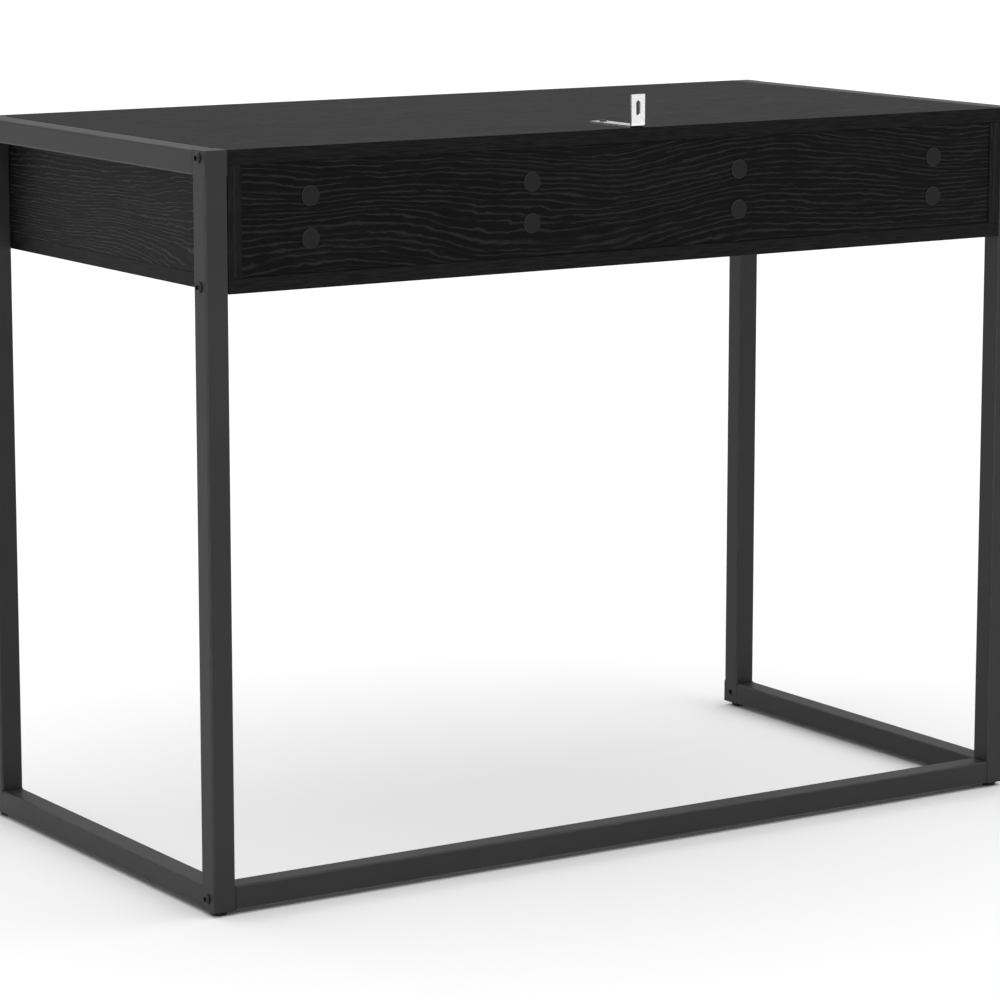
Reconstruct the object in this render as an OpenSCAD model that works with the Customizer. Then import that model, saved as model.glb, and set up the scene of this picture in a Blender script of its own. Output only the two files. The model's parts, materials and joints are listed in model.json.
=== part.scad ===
// Writing desk with two drawers. A board body hangs between two square-tube
// side frames, which one rear stretcher joins at floor level.
// Origin on the floor under the middle of the desk top: +X right, +Y back, +Z up.

/* [Desk] */
// Overall width, over both side frames
desk_w = 1010; // [900:5:1200]
// Overall depth
desk_d = 500; // [480:5:600]
// Height of the desk top
desk_h = 760; // [700:5:800]
// Height of the body that holds the drawers
body_h = 140; // [140:1:180]
// Thickness of the body's boards
board_t = 15; // [15:0.5:18]

/* [Side frames] */
// Width of the square tube
tube_w = 25; // [25:1:30]
// Wall thickness of the tube
tube_wall = 1.5; // [1:0.1:2]
// Outer corner radius of the tube
tube_r = 2.5; // [1.5:0.1:3]
// Length of a corner connector's spigot
spigot_l = 30; // [20:1:40]
// Diameter of a foot glide
glide_d = 16; // [12:1:20]
// Height of a foot glide
glide_h = 5; // [3:0.5:8]

/* [Drawers] */
// Gap around each drawer front
front_gap = 2; // [1.5:0.5:3]
// Height of the drawer box behind its front
drawer_h = 85; // [70:1:100]
// Thickness of the drawer's sides and back
drawer_t = 12; // [12:1:15]
// Thickness of the drawer's bottom
bottom_t = 3; // [3:0.5:4]
// Width of the finger notch in a drawer front
notch_w = 90; // [60:5:150]
// Depth of the finger notch
notch_h = 22; // [18:1:30]

/* [Slides] */
// Length of a slide's rails
slide_l = 400; // [350:10:400]
// How far a drawer pulls out
travel = 300; // [200:10:300]
// Height of a slide
slide_h = 27; // [27:1:35]
// Space that a slide fills beside its drawer
slide_t = 10; // [10:0.5:12]

/* [Fittings] */
// Diameter of the frame bolts
bolt_d = 6; // [5:0.5:6]
// Diameter of a frame bolt's head
bolt_head_d = 10.5; // [10:0.1:12]
// Diameter of a cam lock in a board
cam_d = 15; // [12:0.5:15]
// Distance from a cam lock to its board's edge
cam_edge = 34; // [30:1:34]
// Diameter of the caps that cover the back cam locks
cap_d = 20; // [18:1:22]
// Width of the wall bracket
bracket_w = 16.5; // [15:0.5:25]
// Height of the wall bracket above the desk top
bracket_h = 34; // [30:1:50]
// Length of the wall bracket along the desk top
bracket_l = 76; // [60:1:100]

/* [Hidden] */

LEFT = -1;
RIGHT = 1;
FRONT = -1;
REAR = 1;
SIDES = [LEFT, RIGHT];
ENDS = [FRONT, REAR];

FRAME_BLACK = "#2d2d2f";
BOARD_BLACK = "#1d1d1e";
DRAWER_GREY = "#39393a";
PLASTIC_BLACK = "#242425";
ZINC = "#c9ccd0";
BEECH = "#c9a878";

$fn = 48;
play = 0.05;       // radial clearance of a screw or dowel in its hole
cut = 1;           // how far a cutting shape runs past a face

// Frame: centre lines of the tubes
frame_x = desk_w / 2 - tube_w / 2;
frame_y = desk_d / 2 - tube_w / 2;
rail_z_low = glide_h + tube_w / 2;
rail_z_high = desk_h - tube_w / 2;
leg_z = glide_h + tube_w;
leg_l = desk_h - glide_h - 2 * tube_w;
rail_l = desk_d - 2 * tube_w;
bore_w = tube_w - 2 * tube_wall;
spigot_w = bore_w - 0.4;
spigot_r = max(tube_r - tube_wall, 0.5);
hole_r = bolt_d / 2 + 0.3;
head_h = 3.3;
bolt_hex_r = 3;
screw_hex_r = 2.3;
stem_r = 4;
stem_l = 6;

// Body: faces of the boards
body_x = desk_w / 2 - tube_w;
body_y = desk_d / 2;
body_z = desk_h - body_h;
panel_z = body_z + board_t;
panel_h = body_h - 2 * board_t;
mid_z = panel_z + panel_h / 2;
inner_x = body_x - board_t;
cap_t = 1;
back_y = body_y - cap_t - board_t;
board_bolt_zs = [body_z + board_t / 2, desk_h - board_t / 2];
thread_l = 10;     // length of a frame bolt inside its insert
insert_l = 13;
insert_r = 4.5;

// Cam locks and the bolts that they pull
cam_depth = 12.5;
cam_bolt_r = 2.5;
cam_head_r = 3.4;
cam_bite = 10;     // how deep a cam bolt enters the next board
cam_xs = [for (k = [-1.5, -0.5, 0.5, 1.5]) k * 2 * inner_x / 3.6];
cam_ys = [-170, 170];
cam_top_z = panel_z + panel_h - cam_edge;
cam_low_z = panel_z + cam_edge;

dowel_r = 4;
dowel_l = 30;
dowel_bite = 10;   // how deep a dowel enters the top or bottom board
side_dowel_ys = [-100, 100];
divider_dowel_ys = [-130, 130];
back_dowel_xs = [-260, 260];
divider_screw_ys = [-60, 60];
divider_screw_l = 50;

// Drawers
bay_w = inner_x - board_t / 2;
bay_x = (inner_x + board_t / 2) / 2;
box_w = bay_w - 2 * slide_t;
box_y = -body_y + board_t;
box_l = slide_l + 5;
box_z = mid_z - drawer_h / 2;
groove_d = 6;
groove_z = box_z + 8;
notch_r = 10;
drawer_cam_r = 6;
drawer_cam_y = box_y + 24;
drawer_fix_zs = [mid_z - 25, mid_z + 25];
screw_r = 1.75;
back_screw_l = 30;

// Slides, seen in section: s runs from the cabinet (0) to the drawer (slide_t)
rail_t = 1.2;
ball_r = 1.6;
ball_play = 0.1;
outer_in = slide_h / 2 - rail_t;                         // cabinet rail's inner race
inner_out = outer_in - 2 * ball_r - 2 * ball_play;       // drawer rail's outer race
cage_t = 0.6;
cage_l = slide_l - travel - 4;
cage_y = box_y + 2.5 + travel / 2 + 2;
balls = 7;
rail_y = box_y + 2.5;
rail_screw_l = 7;
cabinet_screw_ys = [30, slide_l / 2 + 20, slide_l - 30];
drawer_screw_ys = [60, slide_l - 60];

// Wall bracket
bracket_t = 2;
bracket_r = 2.5;
bracket_slot_w = 5.2;
bracket_slot_l = 15.5;
bracket_slot_z = 20;      // middle of the slot above the desk top
bracket_screw_y = 64;     // screw's distance from the desk's rear edge

// ---------- shared shapes ----------

// A box given by its lowest corner and its highest corner
module span(low, high) translate(low) cube(high - low);

module rounded_square(w, r) {
    square([w - 2 * r, w], center = true);
    square([w, w - 2 * r], center = true);
    for (x = SIDES, y = SIDES) translate([x * (w / 2 - r), y * (w / 2 - r)]) circle(r = r);
}

// Square tube along +Z
module tube(l) {
    linear_extrude(l) difference() {
        rounded_square(tube_w, tube_r);
        rounded_square(bore_w, spigot_r);
    }
}

// A round hole or rod along X, Y or Z from a point, with its radius and signed length
module rod_x(at, r, l) translate(at) rotate([0, l < 0 ? -90 : 90, 0]) cylinder(r = r, h = abs(l));
module rod_y(at, r, l) translate(at) rotate([l < 0 ? 90 : -90, 0, 0]) cylinder(r = r, h = abs(l));
module rod_z(at, r, l) translate(at) rotate([l < 0 ? 180 : 0, 0, 0]) cylinder(r = r, h = abs(l));

// Button-head bolt along -Z with the underside of its head at z = 0
module button_bolt(l) {
    dome_r = 6.2;
    dome_drop = 1.9;
    difference() {
        intersection() {
            cylinder(d = bolt_head_d, h = head_h);
            translate([0, 0, -dome_drop]) sphere(r = dome_r);
        }
        translate([0, 0, head_h - 2.2]) cylinder(r = bolt_hex_r, h = 2.2 + cut, $fn = 6);
    }
    translate([0, 0, -l]) cylinder(d = bolt_d, h = l);
}

// Countersunk screw along -Z with its flat head at z = 0
module flat_screw(l, head_t = 1.2) {
    translate([0, 0, -head_t]) cylinder(r1 = screw_r, r2 = screw_r + head_t, h = head_t);
    translate([0, 0, -l]) cylinder(r = screw_r, h = l - head_t);
}

// The hole for that screw, a little wider all round
module flat_screw_hole(l, head_t = 1.2) {
    translate([0, 0, -head_t])
        cylinder(r1 = screw_r + play, r2 = screw_r + head_t + play, h = head_t);
    translate([0, 0, cut / -2 - l]) cylinder(r = screw_r + play, h = l + cut / 2 - head_t);
    cylinder(r = screw_r + head_t + play, h = cut);
}

// Cam lock along +Z with its outer face at z = depth; its bolt comes in along +Y
module cam_lock(r, depth, bolt_z) {
    difference() {
        cylinder(r = r - play, h = depth);
        rod_y([0, -cam_head_r / 2 - play, bolt_z], cam_head_r + play, r + cam_head_r);
        translate([0, 0, depth - 2.5]) {
            cylinder(r = 1.6, h = 2.5 + cut);
            for (a = [0, 90]) rotate(a) translate([-4, -0.6, 0]) cube([8, 1.2, 2.5 + cut]);
        }
    }
}

// Cam bolt along +Y: its head at the cam lock's centre, its far end l away
module cam_bolt(r, l) {
    rod_y([0, -cam_head_r / 2, 0], cam_head_r - play, cam_head_r);
    rod_y([0, cam_head_r / 2, 0], r - play, l - cam_head_r / 2);
}

// ---------- side frames ----------

module at_frame_corner(side, end, z) translate([side * frame_x, end * frame_y, z]) children();

// A leg has one bolt hole, level with the bottom board
module leg(side, end) {
    color(FRAME_BLACK) difference() {
        at_frame_corner(side, end, leg_z) tube(leg_l);
        rod_x([side * frame_x - tube_w, end * frame_y, board_bolt_zs[0]], hole_r, 2 * tube_w);
    }
}

module side_rail(side, z) {
    color(FRAME_BLACK) at_frame_corner(side, REAR, z) rotate([90, 0, 0])
        translate([0, 0, tube_w / 2]) tube(rail_l);
}

module spigot() {
    linear_extrude(spigot_l, center = true) rounded_square(spigot_w, spigot_r);
}

// Cube with one spigot into the leg and one into the rail
module corner_connector(end, up) {
    spigot_at = tube_w / 2 + spigot_l / 2;
    cube(tube_w, center = true);
    translate([0, 0, up * spigot_at]) spigot();
    translate([0, -end * spigot_at, 0]) rotate([90, 0, 0]) spigot();
}

module corner_connectors(side) {
    color(FRAME_BLACK) for (end = ENDS) {
        difference() {
            at_frame_corner(side, end, rail_z_high) corner_connector(end, -1);
            rod_x([side * frame_x - tube_w, end * frame_y, board_bolt_zs[1]], hole_r, 2 * tube_w);
        }
        difference() {
            at_frame_corner(side, end, rail_z_low) corner_connector(end, 1);
            rod_x([side * frame_x - tube_w, end * frame_y, rail_z_low], hole_r, 2 * tube_w);
            rod_z([side * frame_x, end * frame_y, glide_h - cut], stem_r, stem_l + 0.5 + cut);
        }
    }
}

module left_front_leg() leg(LEFT, FRONT);
module left_rear_leg() leg(LEFT, REAR);
module left_top_rail() side_rail(LEFT, rail_z_high);
module left_bottom_rail() side_rail(LEFT, rail_z_low);
module left_corner_connectors() corner_connectors(LEFT);
module right_front_leg() leg(RIGHT, FRONT);
module right_rear_leg() leg(RIGHT, REAR);
module right_top_rail() side_rail(RIGHT, rail_z_high);
module right_bottom_rail() side_rail(RIGHT, rail_z_low);
module right_corner_connectors() corner_connectors(RIGHT);

module rear_stretcher() {
    color(FRAME_BLACK) translate([-body_x, frame_y, rail_z_low]) rotate([0, 90, 0]) tube(2 * body_x);
}

// Threaded blocks fixed inside the stretcher's two ends
module stretcher_end_plugs() {
    plug_l = 20;
    color(PLASTIC_BLACK) for (side = SIDES) difference() {
        translate([side * (body_x - plug_l / 2), frame_y, rail_z_low]) rotate([0, 90, 0])
            linear_extrude(plug_l, center = true) rounded_square(spigot_w, spigot_r);
        rod_x([side * (body_x + cut), frame_y, rail_z_low], bolt_d / 2 + play, -side * (plug_l + 2 * cut));
    }
}

// A bolt from outside the frame, through it at height z, towards the body
module frame_bolt(side, end, z, l) {
    translate([side * desk_w / 2, end * frame_y, z]) rotate([0, side * 90, 0]) button_bolt(l);
}

module stretcher_bolts() {
    color(PLASTIC_BLACK) for (side = SIDES) frame_bolt(side, REAR, rail_z_low, tube_w + thread_l);
}

module foot_glides() {
    chamfer = 1;
    color(PLASTIC_BLACK) for (side = SIDES, end = ENDS) at_frame_corner(side, end, 0) {
        cylinder(d1 = glide_d - 2 * chamfer, d2 = glide_d, h = chamfer);
        translate([0, 0, chamfer]) cylinder(d = glide_d, h = glide_h - chamfer);
        translate([0, 0, glide_h]) cylinder(r = stem_r - play, h = stem_l);
    }
}

module board_bolts() {
    color(PLASTIC_BLACK) for (side = SIDES, end = ENDS, z = board_bolt_zs)
        frame_bolt(side, end, z, tube_w + thread_l);
}

// Threaded sleeves in the ends of the top and bottom boards
module board_inserts() {
    color(ZINC) for (side = SIDES, end = ENDS, z = board_bolt_zs) difference() {
        rod_x([side * body_x, end * frame_y, z], insert_r - play, -side * insert_l);
        rod_x([side * (body_x + cut), end * frame_y, z], bolt_d / 2 + play, -side * (insert_l + 2 * cut));
    }
}

// ---------- body ----------

// Holes in the top or bottom board, at its face z that meets the panels; up is 1 at the top
module board_face_holes(z, up) {
    for (x = cam_xs) rod_z([x, back_y + board_t / 2, z - up * cut], cam_bolt_r, up * (cam_bite + 0.5 + cut));
    for (side = SIDES) {
        x = side * (body_x - board_t / 2);
        for (y = cam_ys) rod_z([x, y, z - up * cut], cam_bolt_r, up * (cam_bite + 0.5 + cut));
        for (y = side_dowel_ys) rod_z([x, y, z - up * cut], dowel_r, up * (dowel_bite + 0.5 + cut));
    }
    for (y = divider_dowel_ys) rod_z([0, y, z - up * cut], dowel_r, up * (dowel_bite + 0.5 + cut));
    for (x = back_dowel_xs)
        rod_z([x, back_y + board_t / 2, z - up * cut], dowel_r, up * (dowel_bite + 0.5 + cut));
}

// Holes for the inserts in both ends of a board at height z
module insert_holes(z) {
    for (side = SIDES, end = ENDS)
        rod_x([side * (body_x + cut), end * frame_y, z], insert_r, -side * (insert_l + 0.5 + cut));
}

module top_board() {
    color(BOARD_BLACK) difference() {
        span([-body_x, -body_y, desk_h - board_t], [body_x, body_y, desk_h]);
        insert_holes(board_bolt_zs[1]);
        board_face_holes(desk_h - board_t, 1);
        rod_z([0, body_y - bracket_screw_y, desk_h + cut], screw_r + play, -(12 + cut));
    }
}

module bottom_board() {
    color(BOARD_BLACK) difference() {
        span([-body_x, -body_y, body_z], [body_x, body_y, panel_z]);
        insert_holes(board_bolt_zs[0]);
        board_face_holes(panel_z, -1);
        for (y = divider_screw_ys) divider_screw_space(y);
    }
}

// Dowel holes in the top and bottom edges of a panel, at one point of its plan
module edge_dowel_holes(x, y) {
    for (up = [-1, 1])
        rod_z([x, y, mid_z + up * (panel_h / 2 + cut)], dowel_r, -up * (dowel_l - dowel_bite + 0.5 + cut));
}

// A cam bolt's hole in a panel, from the panel's top or bottom edge to its cam lock
module edge_cam_bolt_holes(x, y) {
    for (up = [-1, 1])
        rod_z([x, y, mid_z + up * (panel_h / 2 + cut)], cam_head_r + play, -up * (cam_edge + cut));
}

module side_panel(side) {
    x = side * (body_x - board_t / 2);
    color(BOARD_BLACK) difference() {
        span([x - board_t / 2, -body_y, panel_z], [x + board_t / 2, body_y, panel_z + panel_h]);
        for (y = side_dowel_ys) edge_dowel_holes(x, y);
        for (y = cam_ys) {
            edge_cam_bolt_holes(x, y);
            for (z = [cam_low_z, cam_top_z])
                rod_x([side * (inner_x - cut), y, z], cam_d / 2, side * (cam_depth + cut));
        }
        cabinet_screw_spaces(side * bay_x);
    }
}

module back_panel() {
    y = back_y + board_t / 2;
    color(BOARD_BLACK) difference() {
        span([-inner_x, back_y, panel_z], [inner_x, back_y + board_t, panel_z + panel_h]);
        for (x = back_dowel_xs) edge_dowel_holes(x, y);
        for (x = cam_xs) {
            edge_cam_bolt_holes(x, y);
            for (z = [cam_low_z, cam_top_z])
                rod_y([x, back_y + board_t + cut, z], cam_d / 2, -(cam_depth + cut));
        }
    }
}

module centre_divider() {
    color(BOARD_BLACK) difference() {
        span([-board_t / 2, -body_y, panel_z], [board_t / 2, back_y, panel_z + panel_h]);
        for (y = divider_dowel_ys) edge_dowel_holes(0, y);
        for (y = divider_screw_ys) divider_screw_space(y);
        for (side = SIDES) cabinet_screw_spaces(side * bay_x);
    }
}

// The divider's long screws come up through the bottom board
module divider_screw(y, gap) {
    head_t = 4;
    rod_z([0, y, body_z - gap], 2.5 + gap, divider_screw_l + 2 * gap);
    translate([0, y, body_z]) cylinder(r1 = 5 + gap, r2 = 2.5 + gap, h = head_t);
}

module divider_screw_space(y) {
    divider_screw(y, play);
    rod_z([0, y, body_z], 5 + play, -cut);
}

module divider_screws() {
    color(ZINC) for (y = divider_screw_ys) difference() {
        divider_screw(y, 0);
        translate([0, y, body_z - cut]) cylinder(r = screw_hex_r, h = 2.5 + cut, $fn = 6);
    }
}

module wood_dowels() {
    color(BEECH) for (up = [-1, 1]) {
        z = mid_z + up * (panel_h / 2 + dowel_bite);
        for (side = SIDES, y = side_dowel_ys)
            rod_z([side * (body_x - board_t / 2), y, z], dowel_r - play, -up * dowel_l);
        for (y = divider_dowel_ys) rod_z([0, y, z], dowel_r - play, -up * dowel_l);
        for (x = back_dowel_xs) rod_z([x, back_y + board_t / 2, z], dowel_r - play, -up * dowel_l);
    }
}

// Children stand at each back cam lock: +Z out of the panel, +Y towards the bolt's board
module each_back_cam() {
    for (x = cam_xs, up = [-1, 1])
        translate([x, back_y + board_t - cam_depth, up > 0 ? cam_top_z : cam_low_z])
            rotate([-90, 0, 0]) rotate(up > 0 ? 180 : 0) children();
}

module back_cam_locks() {
    color(ZINC) each_back_cam() cam_lock(cam_d / 2, cam_depth - 0.5, cam_depth - board_t / 2);
}

module back_cam_bolts() {
    color(ZINC) each_back_cam() translate([0, 0, cam_depth - board_t / 2])
        cam_bolt(cam_bolt_r, cam_edge + cam_bite);
}

// A cap has a chamfered disc on the panel and a stem in the cam lock's tool recess
module cam_cover_caps() {
    rim = 0.6;
    color(PLASTIC_BLACK) each_back_cam() translate([0, 0, cam_depth]) {
        cylinder(d = cap_d, h = cap_t - rim);
        translate([0, 0, cap_t - rim]) cylinder(d1 = cap_d, d2 = cap_d - 2 * rim, h = rim);
        translate([0, 0, -2]) cylinder(r = 1.5, h = 2);
    }
}

// Children stand at each side cam lock: +Z out of the panel, +Y towards the bolt's board
module each_side_cam_lock() {
    for (side = SIDES, y = cam_ys, up = [-1, 1])
        translate([side * (inner_x + cam_depth), y, up > 0 ? cam_top_z : cam_low_z])
            rotate([0, -side * 90, 0]) rotate(up > 0 ? side * -90 : side * 90) children();
}

module side_cam_locks() {
    color(ZINC) each_side_cam_lock() cam_lock(cam_d / 2, cam_depth, cam_depth - board_t / 2);
}

module side_cam_bolts() {
    color(ZINC) each_side_cam_lock() translate([0, 0, cam_depth - board_t / 2])
        cam_bolt(cam_bolt_r, cam_edge + cam_bite);
}

// ---------- wall bracket ----------

// Side outline of the bracket: x forward from the rear edge, y up from the desk top
module bracket_outline() {
    difference() {
        union() {
            square([bracket_l, bracket_t]);
            square([bracket_t, bracket_h]);
            square([bracket_r + bracket_t, bracket_r + bracket_t]);
        }
        translate([bracket_r + bracket_t, bracket_r + bracket_t]) circle(r = bracket_r);
        difference() {
            translate([-cut, -cut]) square(cut + bracket_r + bracket_t);
            translate([bracket_r + bracket_t, bracket_r + bracket_t]) circle(r = bracket_r + bracket_t);
        }
    }
}

module wall_bracket() {
    slot_r = bracket_slot_w / 2;
    slot_half = bracket_slot_l / 2 - slot_r;
    color(ZINC) difference() {
        translate([-bracket_w / 2, body_y, desk_h]) rotate([90, 0, 90]) mirror([1, 0, 0])
            linear_extrude(bracket_w) bracket_outline();
        for (end = ENDS) rod_y([0, body_y + cut, desk_h + bracket_slot_z + end * slot_half], slot_r, -6);
        translate([0, body_y - 2, desk_h + bracket_slot_z]) cube([bracket_slot_w, 6, 2 * slot_half], center = true);
        rod_z([0, body_y - bracket_screw_y, desk_h - cut], 2.2, bracket_t + 2 * cut);
    }
}

module bracket_screw() {
    color(PLASTIC_BLACK) translate([0, body_y - bracket_screw_y, desk_h + bracket_t]) difference() {
        union() {
            intersection() {
                cylinder(r = 4, h = 2.4);
                translate([0, 0, -2.4]) sphere(r = 5);
            }
            rod_z([0, 0, 0], screw_r, -(bracket_t + 11.5));
        }
        for (a = [0, 90]) rotate(a) translate([-2, -0.4, 1.2]) cube([4, 0.8, 2]);
    }
}

// ---------- slides ----------

// Children get a slide's frame beside a bay's edge: +X from the cabinet to the drawer,
// +Y along the rails from their front ends, z = 0 at the slide's middle
module each_slide(bay) {
    for (edge = SIDES)
        translate([bay + edge * bay_w / 2, rail_y, mid_z]) mirror([edge > 0 ? 1 : 0, 0, 0]) children();
}

// C-shaped rail: web from s0, lips of half height out, reaching to s1
module channel(s0, s1, half_h, web_s, l) {
    span([web_s, 0, -half_h], [web_s + rail_t, l, half_h]);
    for (up = SIDES)
        span([s0, 0, up > 0 ? half_h - rail_t : -half_h], [s1, l, up > 0 ? half_h : rail_t - half_h]);
}

module cabinet_rails(bay) {
    color(ZINC) each_slide(bay) difference() {
        channel(0, slide_t - 1.4, slide_h / 2, 0, slide_l);
        for (y = cabinet_screw_ys) translate([rail_t, y, 0]) rotate([0, 90, 0]) flat_screw_hole(rail_screw_l);
    }
}

// Pilot holes for one bay's cabinet rail screws
module cabinet_screw_spaces(bay) {
    each_slide(bay) for (y = cabinet_screw_ys)
        translate([rail_t, y, 0]) rotate([0, 90, 0]) flat_screw_hole(rail_screw_l);
}

module cabinet_rail_screws() {
    color(ZINC) for (side = SIDES) each_slide(side * bay_x) for (y = cabinet_screw_ys)
        translate([rail_t, y, 0]) rotate([0, 90, 0]) flat_screw(rail_screw_l);
}

module drawer_rails(bay) {
    color(ZINC) each_slide(bay) difference() {
        channel(2.9, slide_t, inner_out, slide_t - rail_t, slide_l);
        for (y = drawer_screw_ys)
            translate([slide_t - rail_t, y, 0]) rotate([0, -90, 0]) flat_screw_hole(rail_screw_l);
    }
}

module drawer_screw_spaces(bay) {
    each_slide(bay) for (y = drawer_screw_ys)
        translate([slide_t - rail_t, y, 0]) rotate([0, -90, 0]) flat_screw_hole(rail_screw_l);
}

module drawer_rail_screws(bay) {
    color(ZINC) each_slide(bay) for (y = drawer_screw_ys)
        translate([slide_t - rail_t, y, 0]) rotate([0, -90, 0]) flat_screw(rail_screw_l);
}

// Ball places in a cage: the middle of each race, evenly along the cage
race_s = (2.9 + slide_t - 1.4) / 2;
race_z = (outer_in + inner_out) / 2;
module each_ball(bay) {
    each_slide(bay) for (k = [0 : balls - 1], up = SIDES)
        translate([race_s, cage_y - rail_y + cage_l * (k + 0.5) / balls, up * race_z]) children();
}

module ball_cages(bay) {
    color(ZINC) difference() {
        each_slide(bay) translate([0, cage_y - rail_y, 0]) {
            span([1.5, 0, -race_z - cage_t / 2], [1.5 + cage_t, cage_l, race_z + cage_t / 2]);
            for (up = SIDES) translate([1.5, 0, up * race_z - cage_t / 2]) cube([6.5, cage_l, cage_t]);
        }
        each_ball(bay) cylinder(r = ball_r + play, h = 2 * cut, center = true);
    }
}

module slide_balls(bay) {
    color(ZINC) each_ball(bay) sphere(r = ball_r);
}

module left_cabinet_rails() cabinet_rails(LEFT * bay_x);
module right_cabinet_rails() cabinet_rails(RIGHT * bay_x);
module left_ball_cages() ball_cages(LEFT * bay_x);
module right_ball_cages() ball_cages(RIGHT * bay_x);
module left_slide_balls() slide_balls(LEFT * bay_x);
module right_slide_balls() slide_balls(RIGHT * bay_x);
module left_drawer_rails() drawer_rails(LEFT * bay_x);
module right_drawer_rails() drawer_rails(RIGHT * bay_x);
module left_drawer_rail_screws() drawer_rail_screws(LEFT * bay_x);
module right_drawer_rail_screws() drawer_rail_screws(RIGHT * bay_x);
module left_side_panel() side_panel(LEFT);
module right_side_panel() side_panel(RIGHT);

// ---------- drawers ----------

// The space that a drawer bottom needs in the boards around it
module drawer_bottom_slab(bay, gap) {
    half_w = box_w / 2 - drawer_t + groove_d - gap;
    span([bay - half_w, box_y - groove_d + gap, groove_z],
         [bay + half_w, box_y + box_l - drawer_t + groove_d - gap, groove_z + bottom_t]);
}

// Finger notch outline, with its open edge on y = 0
module notch_outline() {
    translate([-notch_w / 2 + notch_r, -notch_h]) square([notch_w - 2 * notch_r, notch_h + cut]);
    translate([-notch_w / 2, notch_r - notch_h]) square([notch_w, notch_h - notch_r + cut]);
    for (x = SIDES) translate([x * (notch_w / 2 - notch_r), notch_r - notch_h]) circle(r = notch_r);
}

// Children stand at each drawer front cam lock: +Z out of the drawer side, +Y to the front
module each_drawer_cam(bay) {
    for (side = SIDES, z = drawer_fix_zs)
        translate([bay + side * (box_w / 2 - drawer_t + 9.5), drawer_cam_y, z])
            rotate([0, -side * 90, 0]) rotate(180) children();
}

// The cam bolts' holes in a drawer's sides and front
module drawer_cam_bolt_spaces(bay) {
    each_drawer_cam(bay) rod_y([0, 0, 9.5 - drawer_t / 2], cam_bolt_r, drawer_cam_y - box_y + cam_bite + 0.5);
}

module drawer_front(bay) {
    top_z = panel_z + panel_h - front_gap;
    color(BOARD_BLACK) difference() {
        span([bay - bay_w / 2 + front_gap, -body_y, panel_z + front_gap],
             [bay + bay_w / 2 - front_gap, box_y, top_z]);
        translate([bay, box_y + cut, top_z]) rotate([90, 0, 0]) linear_extrude(board_t + 2 * cut) notch_outline();
        drawer_bottom_slab(bay, 0);
        drawer_cam_bolt_spaces(bay);
    }
}

// Children stand at a back screw's head on a drawer side, with the screw along -Z
module each_back_screw(bay) {
    for (side = SIDES, z = drawer_fix_zs)
        translate([bay + side * box_w / 2, box_y + box_l - drawer_t / 2, z]) rotate([0, side * 90, 0]) children();
}

module drawer_sides(bay) {
    color(DRAWER_GREY) for (side = SIDES) difference() {
        translate([bay + side * (box_w - drawer_t) / 2, box_y + box_l / 2, mid_z])
            cube([drawer_t, box_l, drawer_h], center = true);
        drawer_bottom_slab(bay, 0);
        drawer_cam_bolt_spaces(bay);
        each_drawer_cam(bay) cylinder(r = drawer_cam_r, h = 9.5 + cut);
        each_back_screw(bay) flat_screw_hole(back_screw_l, 2);
        drawer_screw_spaces(bay);
    }
}

module drawer_back(bay) {
    half_w = box_w / 2 - drawer_t;
    color(DRAWER_GREY) difference() {
        span([bay - half_w, box_y + box_l - drawer_t, box_z], [bay + half_w, box_y + box_l, box_z + drawer_h]);
        drawer_bottom_slab(bay, 0);
        each_back_screw(bay) flat_screw_hole(back_screw_l, 2);
    }
}

module drawer_bottom(bay) {
    color(DRAWER_GREY) drawer_bottom_slab(bay, 0.3);
}

module drawer_cam_locks(bay) {
    color(ZINC) each_drawer_cam(bay) cam_lock(drawer_cam_r, 9.5, 9.5 - drawer_t / 2);
}

module drawer_cam_bolts(bay) {
    color(ZINC) each_drawer_cam(bay) translate([0, 0, 9.5 - drawer_t / 2])
        rod_y([0, 1, 0], cam_bolt_r - play, drawer_cam_y - box_y + cam_bite - 1);
}

module drawer_back_screws(bay) {
    color(ZINC) each_back_screw(bay) flat_screw(back_screw_l, 2);
}

module left_drawer_front() drawer_front(LEFT * bay_x);
module left_drawer_sides() drawer_sides(LEFT * bay_x);
module left_drawer_back() drawer_back(LEFT * bay_x);
module left_drawer_bottom() drawer_bottom(LEFT * bay_x);
module left_drawer_cam_locks() drawer_cam_locks(LEFT * bay_x);
module left_drawer_cam_bolts() drawer_cam_bolts(LEFT * bay_x);
module left_drawer_back_screws() drawer_back_screws(LEFT * bay_x);
module right_drawer_front() drawer_front(RIGHT * bay_x);
module right_drawer_sides() drawer_sides(RIGHT * bay_x);
module right_drawer_back() drawer_back(RIGHT * bay_x);
module right_drawer_bottom() drawer_bottom(RIGHT * bay_x);
module right_drawer_cam_locks() drawer_cam_locks(RIGHT * bay_x);
module right_drawer_cam_bolts() drawer_cam_bolts(RIGHT * bay_x);
module right_drawer_back_screws() drawer_back_screws(RIGHT * bay_x);

left_front_leg();
left_rear_leg();
left_top_rail();
left_bottom_rail();
left_corner_connectors();
right_front_leg();
right_rear_leg();
right_top_rail();
right_bottom_rail();
right_corner_connectors();
rear_stretcher();
stretcher_end_plugs();
stretcher_bolts();
foot_glides();
board_bolts();
board_inserts();
top_board();
bottom_board();
left_side_panel();
right_side_panel();
back_panel();
centre_divider();
divider_screws();
wood_dowels();
back_cam_locks();
back_cam_bolts();
cam_cover_caps();
side_cam_locks();
side_cam_bolts();
wall_bracket();
bracket_screw();
left_cabinet_rails();
right_cabinet_rails();
cabinet_rail_screws();
left_drawer_front();
left_drawer_sides();
left_drawer_back();
left_drawer_bottom();
left_drawer_cam_locks();
left_drawer_cam_bolts();
left_drawer_back_screws();
left_drawer_rails();
left_drawer_rail_screws();
right_drawer_front();
right_drawer_sides();
right_drawer_back();
right_drawer_bottom();
right_drawer_cam_locks();
right_drawer_cam_bolts();
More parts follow.
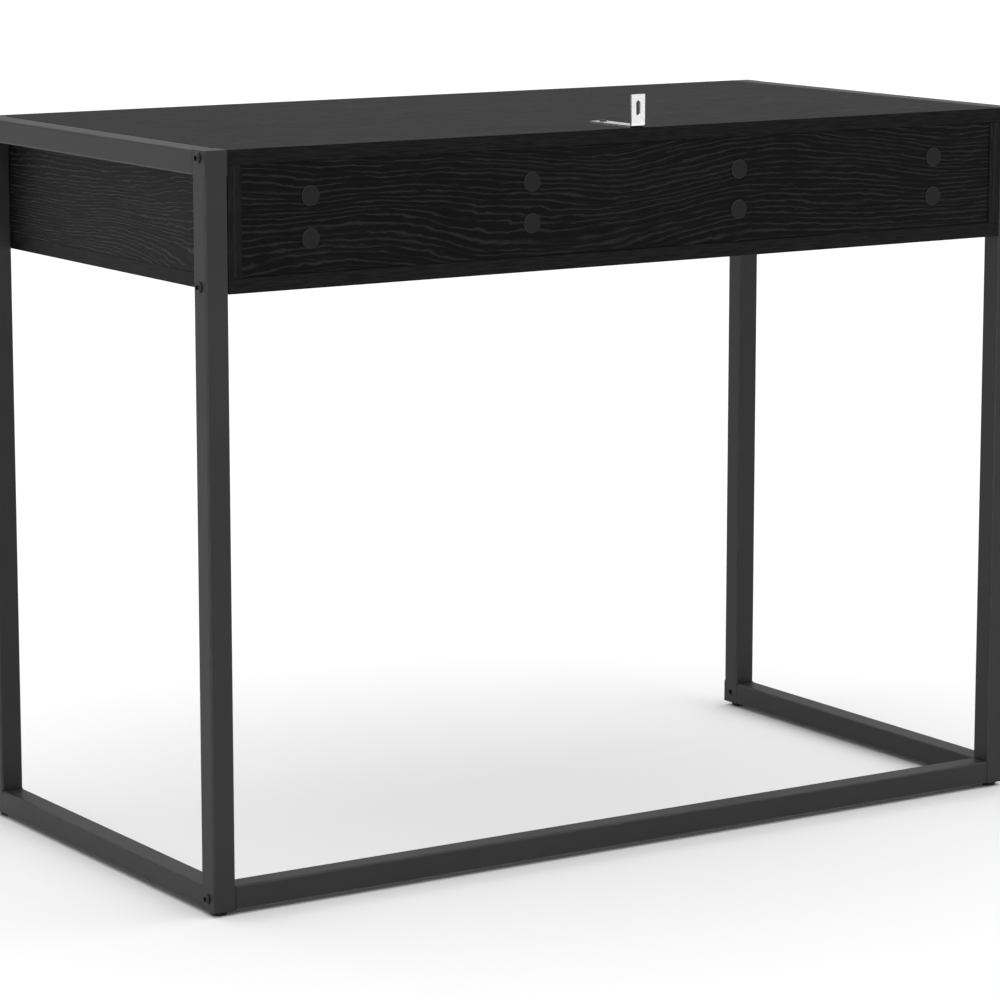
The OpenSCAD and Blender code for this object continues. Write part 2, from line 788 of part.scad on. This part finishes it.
right_drawer_back_screws();
right_drawer_rails();
right_drawer_rail_screws();
left_ball_cages();
left_slide_balls();
right_ball_cages();
right_slide_balls();
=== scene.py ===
"""Looks of a black writing desk with two drawers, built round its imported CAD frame."""

import json
import math

import bpy
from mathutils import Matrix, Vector

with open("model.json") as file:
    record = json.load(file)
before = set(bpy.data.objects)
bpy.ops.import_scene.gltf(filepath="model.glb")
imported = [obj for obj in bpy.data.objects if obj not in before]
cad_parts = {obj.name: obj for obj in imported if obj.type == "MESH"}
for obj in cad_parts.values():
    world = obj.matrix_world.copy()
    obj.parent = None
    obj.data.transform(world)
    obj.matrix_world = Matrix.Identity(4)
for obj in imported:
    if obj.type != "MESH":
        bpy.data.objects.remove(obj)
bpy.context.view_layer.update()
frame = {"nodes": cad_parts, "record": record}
NODES = frame["nodes"]
SLOTS = {s["node"]: s["material_slot"] for s in frame["record"]["subparts"]}

MM = 0.001
X, Y, Z = 0, 1, 2


# ---------- node graphs ----------

class Graph:
    """A material's node tree, built from the texture coordinates towards the shader."""

    def __init__(self, name):
        self.material = bpy.data.materials.new(name)
        self.material.use_nodes = True
        self.tree = self.material.node_tree
        self.tree.nodes.clear()
        self.shader = self.add("ShaderNodeBsdfPrincipled")
        output = self.add("ShaderNodeOutputMaterial")
        self.tree.links.new(self.shader.outputs[0], output.inputs["Surface"])
        self.place = self.add("ShaderNodeTexCoord").outputs["Object"]

    def add(self, kind, **values):
        node = self.tree.nodes.new(kind)
        for key, value in values.items():
            setattr(node, key, value)
        return node

    def put(self, socket, value):
        """Links an output to a socket, or sets the socket to a plain value."""
        if isinstance(value, bpy.types.NodeSocket):
            self.tree.links.new(value, socket)
        else:
            socket.default_value = value

    def math(self, operation, a, b=None, c=None, clamp=False):
        node = self.add("ShaderNodeMath", operation=operation, use_clamp=clamp)
        for socket, value in zip(node.inputs, (a, b, c)):
            if value is not None:
                self.put(socket, value)
        return node.outputs[0]

    def split(self, vector):
        node = self.add("ShaderNodeSeparateXYZ")
        self.put(node.inputs[0], vector)
        return node.outputs

    def join(self, x, y, z=0.0):
        node = self.add("ShaderNodeCombineXYZ")
        for socket, value in zip(node.inputs, (x, y, z)):
            self.put(socket, value)
        return node.outputs[0]

    def stretched(self, scales):
        """The place on the desk, stretched by one scale for each axis."""
        return self.join(*[self.math("MULTIPLY", p, s) for p, s in zip(self.split(self.place), scales)])

    def noise(self, vector, scale=1.0, detail=2.0, rough=0.5):
        node = self.add("ShaderNodeTexNoise")
        self.put(node.inputs["Vector"], vector)
        self.put(node.inputs["Scale"], scale)
        self.put(node.inputs["Detail"], detail)
        self.put(node.inputs["Roughness"], rough)
        return node.outputs[0]

    def ramp(self, value, low, high, to_low=0.0, to_high=1.0):
        """Smooth step of value from low to high, between two results."""
        node = self.add("ShaderNodeMapRange", interpolation_type="SMOOTHSTEP")
        for socket, number in zip(node.inputs, (value, low, high, to_low, to_high)):
            self.put(socket, number)
        return node.outputs[0]

    def mix(self, factor, a, b):
        node = self.add("ShaderNodeMix", data_type="RGBA")
        self.put(node.inputs["Factor"], factor)
        self.put(node.inputs[6], colour(a))
        self.put(node.inputs[7], colour(b))
        return node.outputs[2]

    def bump(self, height, depth, strength=1.0, under=None):
        """Bump from a height of 0 to 1 that stands for depth metres."""
        node = self.add("ShaderNodeBump")
        self.put(node.inputs["Strength"], strength)
        self.put(node.inputs["Distance"], depth)
        self.put(node.inputs["Height"], height)
        if under is not None:
            self.put(node.inputs["Normal"], under)
        return node.outputs[0]

    def finish(self, base, rough, normal=None, **sockets):
        self.put(self.shader.inputs["Base Color"], colour(base))
        self.put(self.shader.inputs["Roughness"], rough)
        if normal is not None:
            self.put(self.shader.inputs["Normal"], normal)
        for name, value in sockets.items():
            self.put(self.shader.inputs[name.replace("_", " ")], value)
        return self.material


def colour(value):
    """A grey or an RGB triple as the four numbers that a socket takes."""
    if isinstance(value, bpy.types.NodeSocket):
        return value
    if isinstance(value, float):
        value = (value, value, value)
    return (*value, 1.0)


def edge_mask(g):
    """1 on rounded edges, 0 on flat faces that lie square to an axis."""
    normal = g.split(g.add("ShaderNodeNewGeometry").outputs["Normal"])
    sizes = [g.math("ABSOLUTE", n) for n in normal]
    largest = g.math("MAXIMUM", g.math("MAXIMUM", sizes[0], sizes[1]), sizes[2])
    return g.ramp(largest, 0.995, 0.90)


# ---------- materials ----------

# Planes where a rail or the stretcher meets a corner, as distances from the desk's middle
JOINTS = {X: 0.480, Y: 0.225}

# Half the width of a painted joint shade line or of a glue line: it starts to fade inside and ends
# outside
LINE_CORE, LINE_END = 0.4 * MM, 0.9 * MM


def joint_shade_lines(g):
    """1 on the hairlines where the rails and the stretcher meet the corners: a mask for painted shade in
    the gaps between the pieces.
    """
    place = g.split(g.place)
    normal = g.split(g.add("ShaderNodeNewGeometry").outputs["Normal"])
    lines = 0.0
    for axis, plane in JOINTS.items():
        across = g.ramp(g.math("ABSOLUTE", normal[axis]), 0.5, 0.3)
        off = g.math("ABSOLUTE", g.math("SUBTRACT", g.math("ABSOLUTE", place[axis]), plane))
        line = g.math("MULTIPLY", g.ramp(off, LINE_END, LINE_CORE), across)
        lines = g.math("MAXIMUM", lines, line)
    return lines


def powder_coat():
    """Black powder coat: a fine orange peel, and slightly worn, smoother edges that are painted lighter,
    partly as wear and partly as a painted highlight where light catches the rounded edges.
    """
    g = Graph("black_frame")
    peel = g.noise(g.place, 900.0, 2.0)
    cloud = g.noise(g.place, 9.0, 3.0)
    edge = g.math("MULTIPLY", edge_mask(g), g.ramp(g.noise(g.place, 60.0, 3.0), 0.35, 0.7, 0.5, 1.0))
    tint = g.mix(g.ramp(cloud, 0.3, 0.7), (0.0285, 0.0285, 0.0290), (0.0330, 0.0330, 0.0335))
    # Painted highlight and wear: the rounded edges are painted lighter, up to 0.052 against a body of
    # about 0.03, for light catching them as well as for worn coat
    base = g.mix(edge, tint, 0.052)
    # Painted shade: the hairlines at the joints are painted dark, 0.007, as shadow in the gaps between
    # the pieces
    base = g.mix(joint_shade_lines(g), base, 0.007)
    rough = g.math("ADD", g.ramp(cloud, 0.25, 0.75, 0.40, 0.50), g.math("MULTIPLY", edge, -0.06))
    return g.finish(base, rough, g.bump(peel, 0.05 * MM, 0.35), Specular_IOR_Level=0.18)


def oak_foil(name, across, along, seed, rings=180.0, dark=0.0008, light=0.0140, matt=0.50, seam=None):
    """Black foil embossed with wavy oak grain that runs along one axis. The faces square to
    the board's thickness show the grain; the narrow edges have a plain, finely streaked band.
    A seam is the distance from the middle of the desk to the light glue line that shows on the
    board's two ends."""
    thick = 3 - across - along
    g = Graph(name)
    place = g.split(g.place)
    far = g.math("ADD", place[along], seed * 3.7)
    wide = g.math("ADD", place[across], seed * 1.3)

    def grain_noise(per_metre_along, across_value, per_metre_across, detail, turn=0.0):
        spot = g.join(g.math("MULTIPLY", far, per_metre_along),
                      g.math("MULTIPLY", across_value, per_metre_across), seed + turn)
        return g.noise(spot, 1.0, detail)

    # the growth rings: level lines that slow swells bend into hills, and that tremble a little
    ring = g.math("MULTIPLY_ADD", grain_noise(2.4, wide, 6.0, 1.0), 0.10, wide)
    ring = g.math("MULTIPLY_ADD", grain_noise(13.0, wide, 45.0, 2.0), 0.010, ring)
    ring = g.math("MULTIPLY_ADD", grain_noise(80.0, wide, 160.0, 2.0, 5.0), 0.0032, ring)
    # one raised line to a ring, unevenly spaced, of changing thickness, that fades in and out
    uneven = grain_noise(0.9, ring, 42.0, 2.0, 9.0)
    phase = g.math("MULTIPLY_ADD", ring, rings, g.math("MULTIPLY", uneven, 2.0))
    crest = g.math("PINGPONG", phase, 0.5)
    crest = g.math("MULTIPLY_ADD", grain_noise(60.0, ring, 300.0, 2.0, 3.0), 0.30, crest)
    fading = g.ramp(grain_noise(17.0, ring, 230.0, 3.0), 0.38, 0.52, 0.15, 1.0)
    line = g.math("MULTIPLY", g.ramp(crest, 0.43, 0.59), fading)
    # finer lines fill some bands between them
    fine_phase = g.math("MULTIPLY_ADD", ring, 2.1 * rings, g.math("MULTIPLY", uneven, 4.0))
    fine = g.math("PINGPONG", fine_phase, 0.5)
    band_here = g.ramp(grain_noise(4.0, ring, 26.0, 2.0, 7.0), 0.48, 0.60)
    fine = g.math("MULTIPLY", g.ramp(fine, 0.30, 0.50), g.math("MULTIPLY", band_here, fading))
    line = g.math("MAXIMUM", line, g.math("MULTIPLY", fine, 0.55))
    # short pores
    pore = g.ramp(grain_noise(50.0, ring, 1200.0, 2.0, 2.0), 0.52, 0.66)
    relief = g.math("MULTIPLY_ADD", pore, 0.25, line)

    # the edge band: fine streaks along the edge, whichever way the edge runs
    normal = [g.math("ABSOLUTE", n) for n in g.split(g.add("ShaderNodeNewGeometry").outputs["Normal"])]
    end = g.ramp(normal[along], 0.6, 0.9)
    stretch_along = g.math("MULTIPLY_ADD", end, 560.0, 40.0)
    stretch_across = g.math("MULTIPLY_ADD", end, -560.0, 600.0)
    streaks = g.noise(g.join(g.math("MULTIPLY", place[along], stretch_along),
                             g.math("MULTIPLY", place[across], stretch_across),
                             g.math("MULTIPLY", place[thick], 600.0)), 1.0, 2.0)
    on_face = g.ramp(normal[thick], 0.6, 0.9)

    face = g.mix(line, dark, light)
    face = g.mix(g.math("MULTIPLY", pore, 0.35), face, dark + 0.0035)
    band = g.mix(g.ramp(streaks, 0.35, 0.65), 0.0032, 0.0095)
    if seam is not None:
        off = g.math("ABSOLUTE", g.math("SUBTRACT", g.math("ABSOLUTE", place[thick]), seam))
        glue = g.math("MULTIPLY", g.ramp(off, LINE_END, LINE_CORE), end)
        band = g.mix(glue, band, 0.0150)
    base = g.mix(on_face, band, face)
    height = g.math("ADD", g.math("MULTIPLY", relief, on_face),
                    g.math("MULTIPLY", streaks, g.math("MULTIPLY_ADD", on_face, -0.2, 0.2)))
    rough = g.ramp(line, 0.0, 1.0, matt, matt - 0.05)
    return g.finish(base, rough, g.bump(height, 0.25 * MM, 0.7), Specular_IOR_Level=0.09)


def plain_foil(name, along, grey):
    """Smooth dark foil on the drawer boards, with faint streaks along one axis."""
    g = Graph(name)
    stretch = [420.0, 420.0, 420.0]
    stretch[along] = 14.0
    streaks = g.noise(g.stretched(stretch), 1.0, 3.0)
    base = g.mix(g.ramp(streaks, 0.3, 0.7), grey * 0.8, grey * 1.25)
    rough = g.ramp(streaks, 0.3, 0.7, 0.5, 0.6)
    return g.finish(base, rough, g.bump(streaks, 0.05 * MM, 0.4), Specular_IOR_Level=0.3)


def moulded_plastic(name, grey, rough):
    """Moulded plastic with a fine spark-eroded texture, and painted highlights on its rounded edges."""
    g = Graph(name)
    grain = g.noise(g.place, 1600.0, 1.0)
    base = g.mix(g.noise(g.place, 90.0, 2.0), grey * 0.85, grey * 1.15)
    # Painted highlight: the rounded edges are painted 3.5 times lighter, as rims catching light
    base = g.mix(edge_mask(g), base, grey * 3.5)
    mottled = g.ramp(grain, 0.3, 0.7, rough - 0.06, rough + 0.06)
    return g.finish(base, mottled, g.bump(grain, 0.03 * MM, 0.5), Specular_IOR_Level=0.2)


def plated_steel(name, grey, rough, brushed=None):
    """Plated steel, mottled, and brushed along one axis where that is given."""
    g = Graph(name)
    stretch = [260.0, 260.0, 260.0]
    if brushed is not None:
        stretch = [1400.0, 1400.0, 1400.0]
        stretch[brushed] = 18.0
    marks = g.noise(g.stretched(stretch), 1.0, 3.0)
    cloud = g.noise(g.place, 45.0, 3.0)
    dull = (grey * 0.92, grey * 0.93, grey * 0.95)
    bright = (grey, grey, grey * 1.01)
    base = g.mix(g.ramp(cloud, 0.3, 0.7), dull, bright)
    mottled = g.ramp(marks, 0.25, 0.75, rough * 0.75, rough * 1.25)
    return g.finish(base, mottled, g.bump(marks, 0.02 * MM, 0.4), Metallic=1.0)


def black_oxide():
    """Black oxide on the frame's bolts."""
    g = Graph("black_bolt")
    marks = g.noise(g.place, 500.0, 2.0)
    base = g.mix(g.ramp(marks, 0.3, 0.7), 0.008, 0.016)
    rough = g.ramp(marks, 0.3, 0.7, 0.36, 0.48)
    return g.finish(base, rough, g.bump(marks, 0.02 * MM, 0.5), Specular_IOR_Level=0.35)


def beech():
    """Beech dowels, with fine upright streaks."""
    g = Graph("beech")
    streaks = g.noise(g.stretched((900.0, 900.0, 30.0)), 1.0, 3.0)
    base = g.mix(g.ramp(streaks, 0.3, 0.7), (0.50, 0.34, 0.19), (0.66, 0.49, 0.31))
    return g.finish(base, 0.62, g.bump(streaks, 0.05 * MM, 0.6))


# Side panels: finer grain that is painted lighter, a lit copy of the same foil for the extra light that
# falls on the sides, and the glue line in the middle of their 15 mm edge
LIT_SIDE_GRAIN = {"rings": 250.0, "dark": 0.0045, "light": 0.025, "seam": 0.4725}

# board: (axis across the grain, axis along the grain, what differs from the usual grain)
BOARDS = {
    # The top board's raised lines are painted lighter than on the other boards, a lit copy of the same
    # foil for the light that falls on the top; its finish is also rougher
    "top_board": (Y, X, {"light": 0.024, "matt": 0.62}),
    "bottom_board": (Y, X, {}),
    "back_panel": (Z, X, {}),
    "left_side_panel": (Z, Y, LIT_SIDE_GRAIN),
    "right_side_panel": (Z, Y, LIT_SIDE_GRAIN),
    "centre_divider": (Z, Y, {}),
    "left_drawer_front": (Z, X, {}),
    "right_drawer_front": (Z, X, {}),
}


def paint_cad_nodes():
    """Gives each CAD node its material; each oak board has grain of its own."""
    finishes = {
        "black_frame": powder_coat(),
        "black_plastic": moulded_plastic("black_plastic", 0.006, 0.5),
        "black_bolt": black_oxide(),
        "zinc_bracket": plated_steel("zinc_bracket", 0.94, 0.30),
        "zinc_fittings": plated_steel("zinc_fittings", 0.62, 0.34),
        "slide_steel": plated_steel("slide_steel", 0.62, 0.30, brushed=Y),
        "ball_steel": plated_steel("ball_steel", 0.78, 0.12),
        "drawer_base": plain_foil("drawer_base", X, 0.016),
        "beech": beech(),
    }
    drawer_boards = {
        "sides": plain_foil("drawer_side_foil", Y, 0.020),
        "back": plain_foil("drawer_back_foil", X, 0.020),
    }
    for seed, (board, (across, along, grain)) in enumerate(BOARDS.items()):
        finishes[board] = oak_foil(f"oak_{board}", across, along, seed + 1.0, **grain)
    for name, node in NODES.items():
        material = finishes.get(name) or finishes.get(SLOTS[name]) or drawer_boards[name.split("_")[-1]]
        node.data.materials.clear()
        node.data.materials.append(material)


# ---------- edges ----------

OUTLINE_RADIUS = 0.5 * MM


def soften_outline(board, width):
    """Rounds the outer edges of a board a little, as wrapped foil does. Only the edges that lie
    in two of the board's outer planes are rounded; holes and notches stay as the CAD has them."""
    same_plane, same_point = 0.02 * MM, 0.005 * MM
    mesh = NODES[board].data
    spots = [vertex.co for vertex in mesh.vertices]
    outer = [(axis, pick(spot[axis] for spot in spots)) for axis in (X, Y, Z) for pick in (min, max)]
    weight = mesh.attributes.new("bevel_weight_edge", "FLOAT", "EDGE")
    for edge in mesh.edges:
        ends = [spots[index] for index in edge.vertices]
        planes = 0
        for axis, plane in outer:
            planes += all(abs(end[axis] - plane) < same_plane for end in ends)
        weight.data[edge.index].value = 1.0 if planes > 1 else 0.0
    NODES[board].modifiers.new("join", "WELD").merge_threshold = same_point
    bevel = NODES[board].modifiers.new("edge", "BEVEL")
    bevel.limit_method = "WEIGHT"
    bevel.width = width
    bevel.segments = 2
    bevel.use_clamp_overlap = False
    bevel.harden_normals = True


# ---------- stage ----------

def stage_floor():
    """A pale floor that reaches past everything the camera sees, so that no edge shows."""
    mesh = bpy.data.meshes.new("floor")
    reach = 300.0
    corners = [(-reach, -reach, 0), (reach, -reach, 0), (reach, reach, 0), (-reach, reach, 0)]
    mesh.from_pydata(corners, [], [(0, 1, 2, 3)])
    floor = bpy.data.objects.new("floor", mesh)
    bpy.context.scene.collection.objects.link(floor)
    g = Graph("floor_paper")
    g.finish(0.92, 0.9, Specular_IOR_Level=0.1)
    mesh.materials.append(g.material)


def stage_light():
    """A plain soft dome lights the desk: bright overhead, dimmer towards the horizon. Where it
    is seen directly, past the floor, it is as pale as the floor."""
    low_sky, high_sky = 0.05, 0.75
    horizon_strength, overhead_strength, backdrop_strength = 0.24, 1.45, 1.0
    world = bpy.data.worlds.new("studio")
    bpy.context.scene.world = world
    world.use_nodes = True
    tree = world.node_tree
    background = tree.nodes["Background"]
    background.inputs["Color"].default_value = (1.0, 1.0, 1.0, 1.0)
    direction = tree.nodes.new("ShaderNodeTexCoord")
    height = tree.nodes.new("ShaderNodeSeparateXYZ")
    tree.links.new(direction.outputs["Generated"], height.inputs[0])
    dome = tree.nodes.new("ShaderNodeMapRange")
    dome.interpolation_type = "SMOOTHSTEP"
    dome.inputs["From Min"].default_value = low_sky
    dome.inputs["From Max"].default_value = high_sky
    dome.inputs["To Min"].default_value = horizon_strength
    dome.inputs["To Max"].default_value = overhead_strength
    tree.links.new(height.outputs["Z"], dome.inputs["Value"])
    seen = tree.nodes.new("ShaderNodeMix")
    seen.inputs["B"].default_value = backdrop_strength
    tree.links.new(tree.nodes.new("ShaderNodeLightPath").outputs["Is Camera Ray"], seen.inputs["Factor"])
    tree.links.new(dome.outputs[0], seen.inputs["A"])
    tree.links.new(seen.outputs[0], background.inputs["Strength"])


def stage_camera():
    """Looks at the desk's rear from its right end, a little from above, with a long lens."""
    azimuth, elevation = math.radians(147.19), math.radians(9.98)
    place = (2.361, 3.651, 1.101)
    lens_mm, sensor_mm = 145.4, 36.0
    level = math.cos(elevation)
    back = Vector((math.sin(azimuth) * level, -math.cos(azimuth) * level, math.sin(elevation)))
    camera = bpy.data.objects.new("camera", bpy.data.cameras.new("camera"))
    camera.data.lens = lens_mm
    camera.data.sensor_width = sensor_mm
    camera.location = place
    camera.rotation_mode = "QUATERNION"
    camera.rotation_quaternion = (-back).to_track_quat("-Z", "Y")
    bpy.context.scene.collection.objects.link(camera)
    bpy.context.scene.camera = camera


stage_camera()
paint_cad_nodes()
for board in BOARDS:
    soften_outline(board, OUTLINE_RADIUS)
stage_floor()
stage_light()
bpy.context.scene.view_settings.view_transform = "Standard"
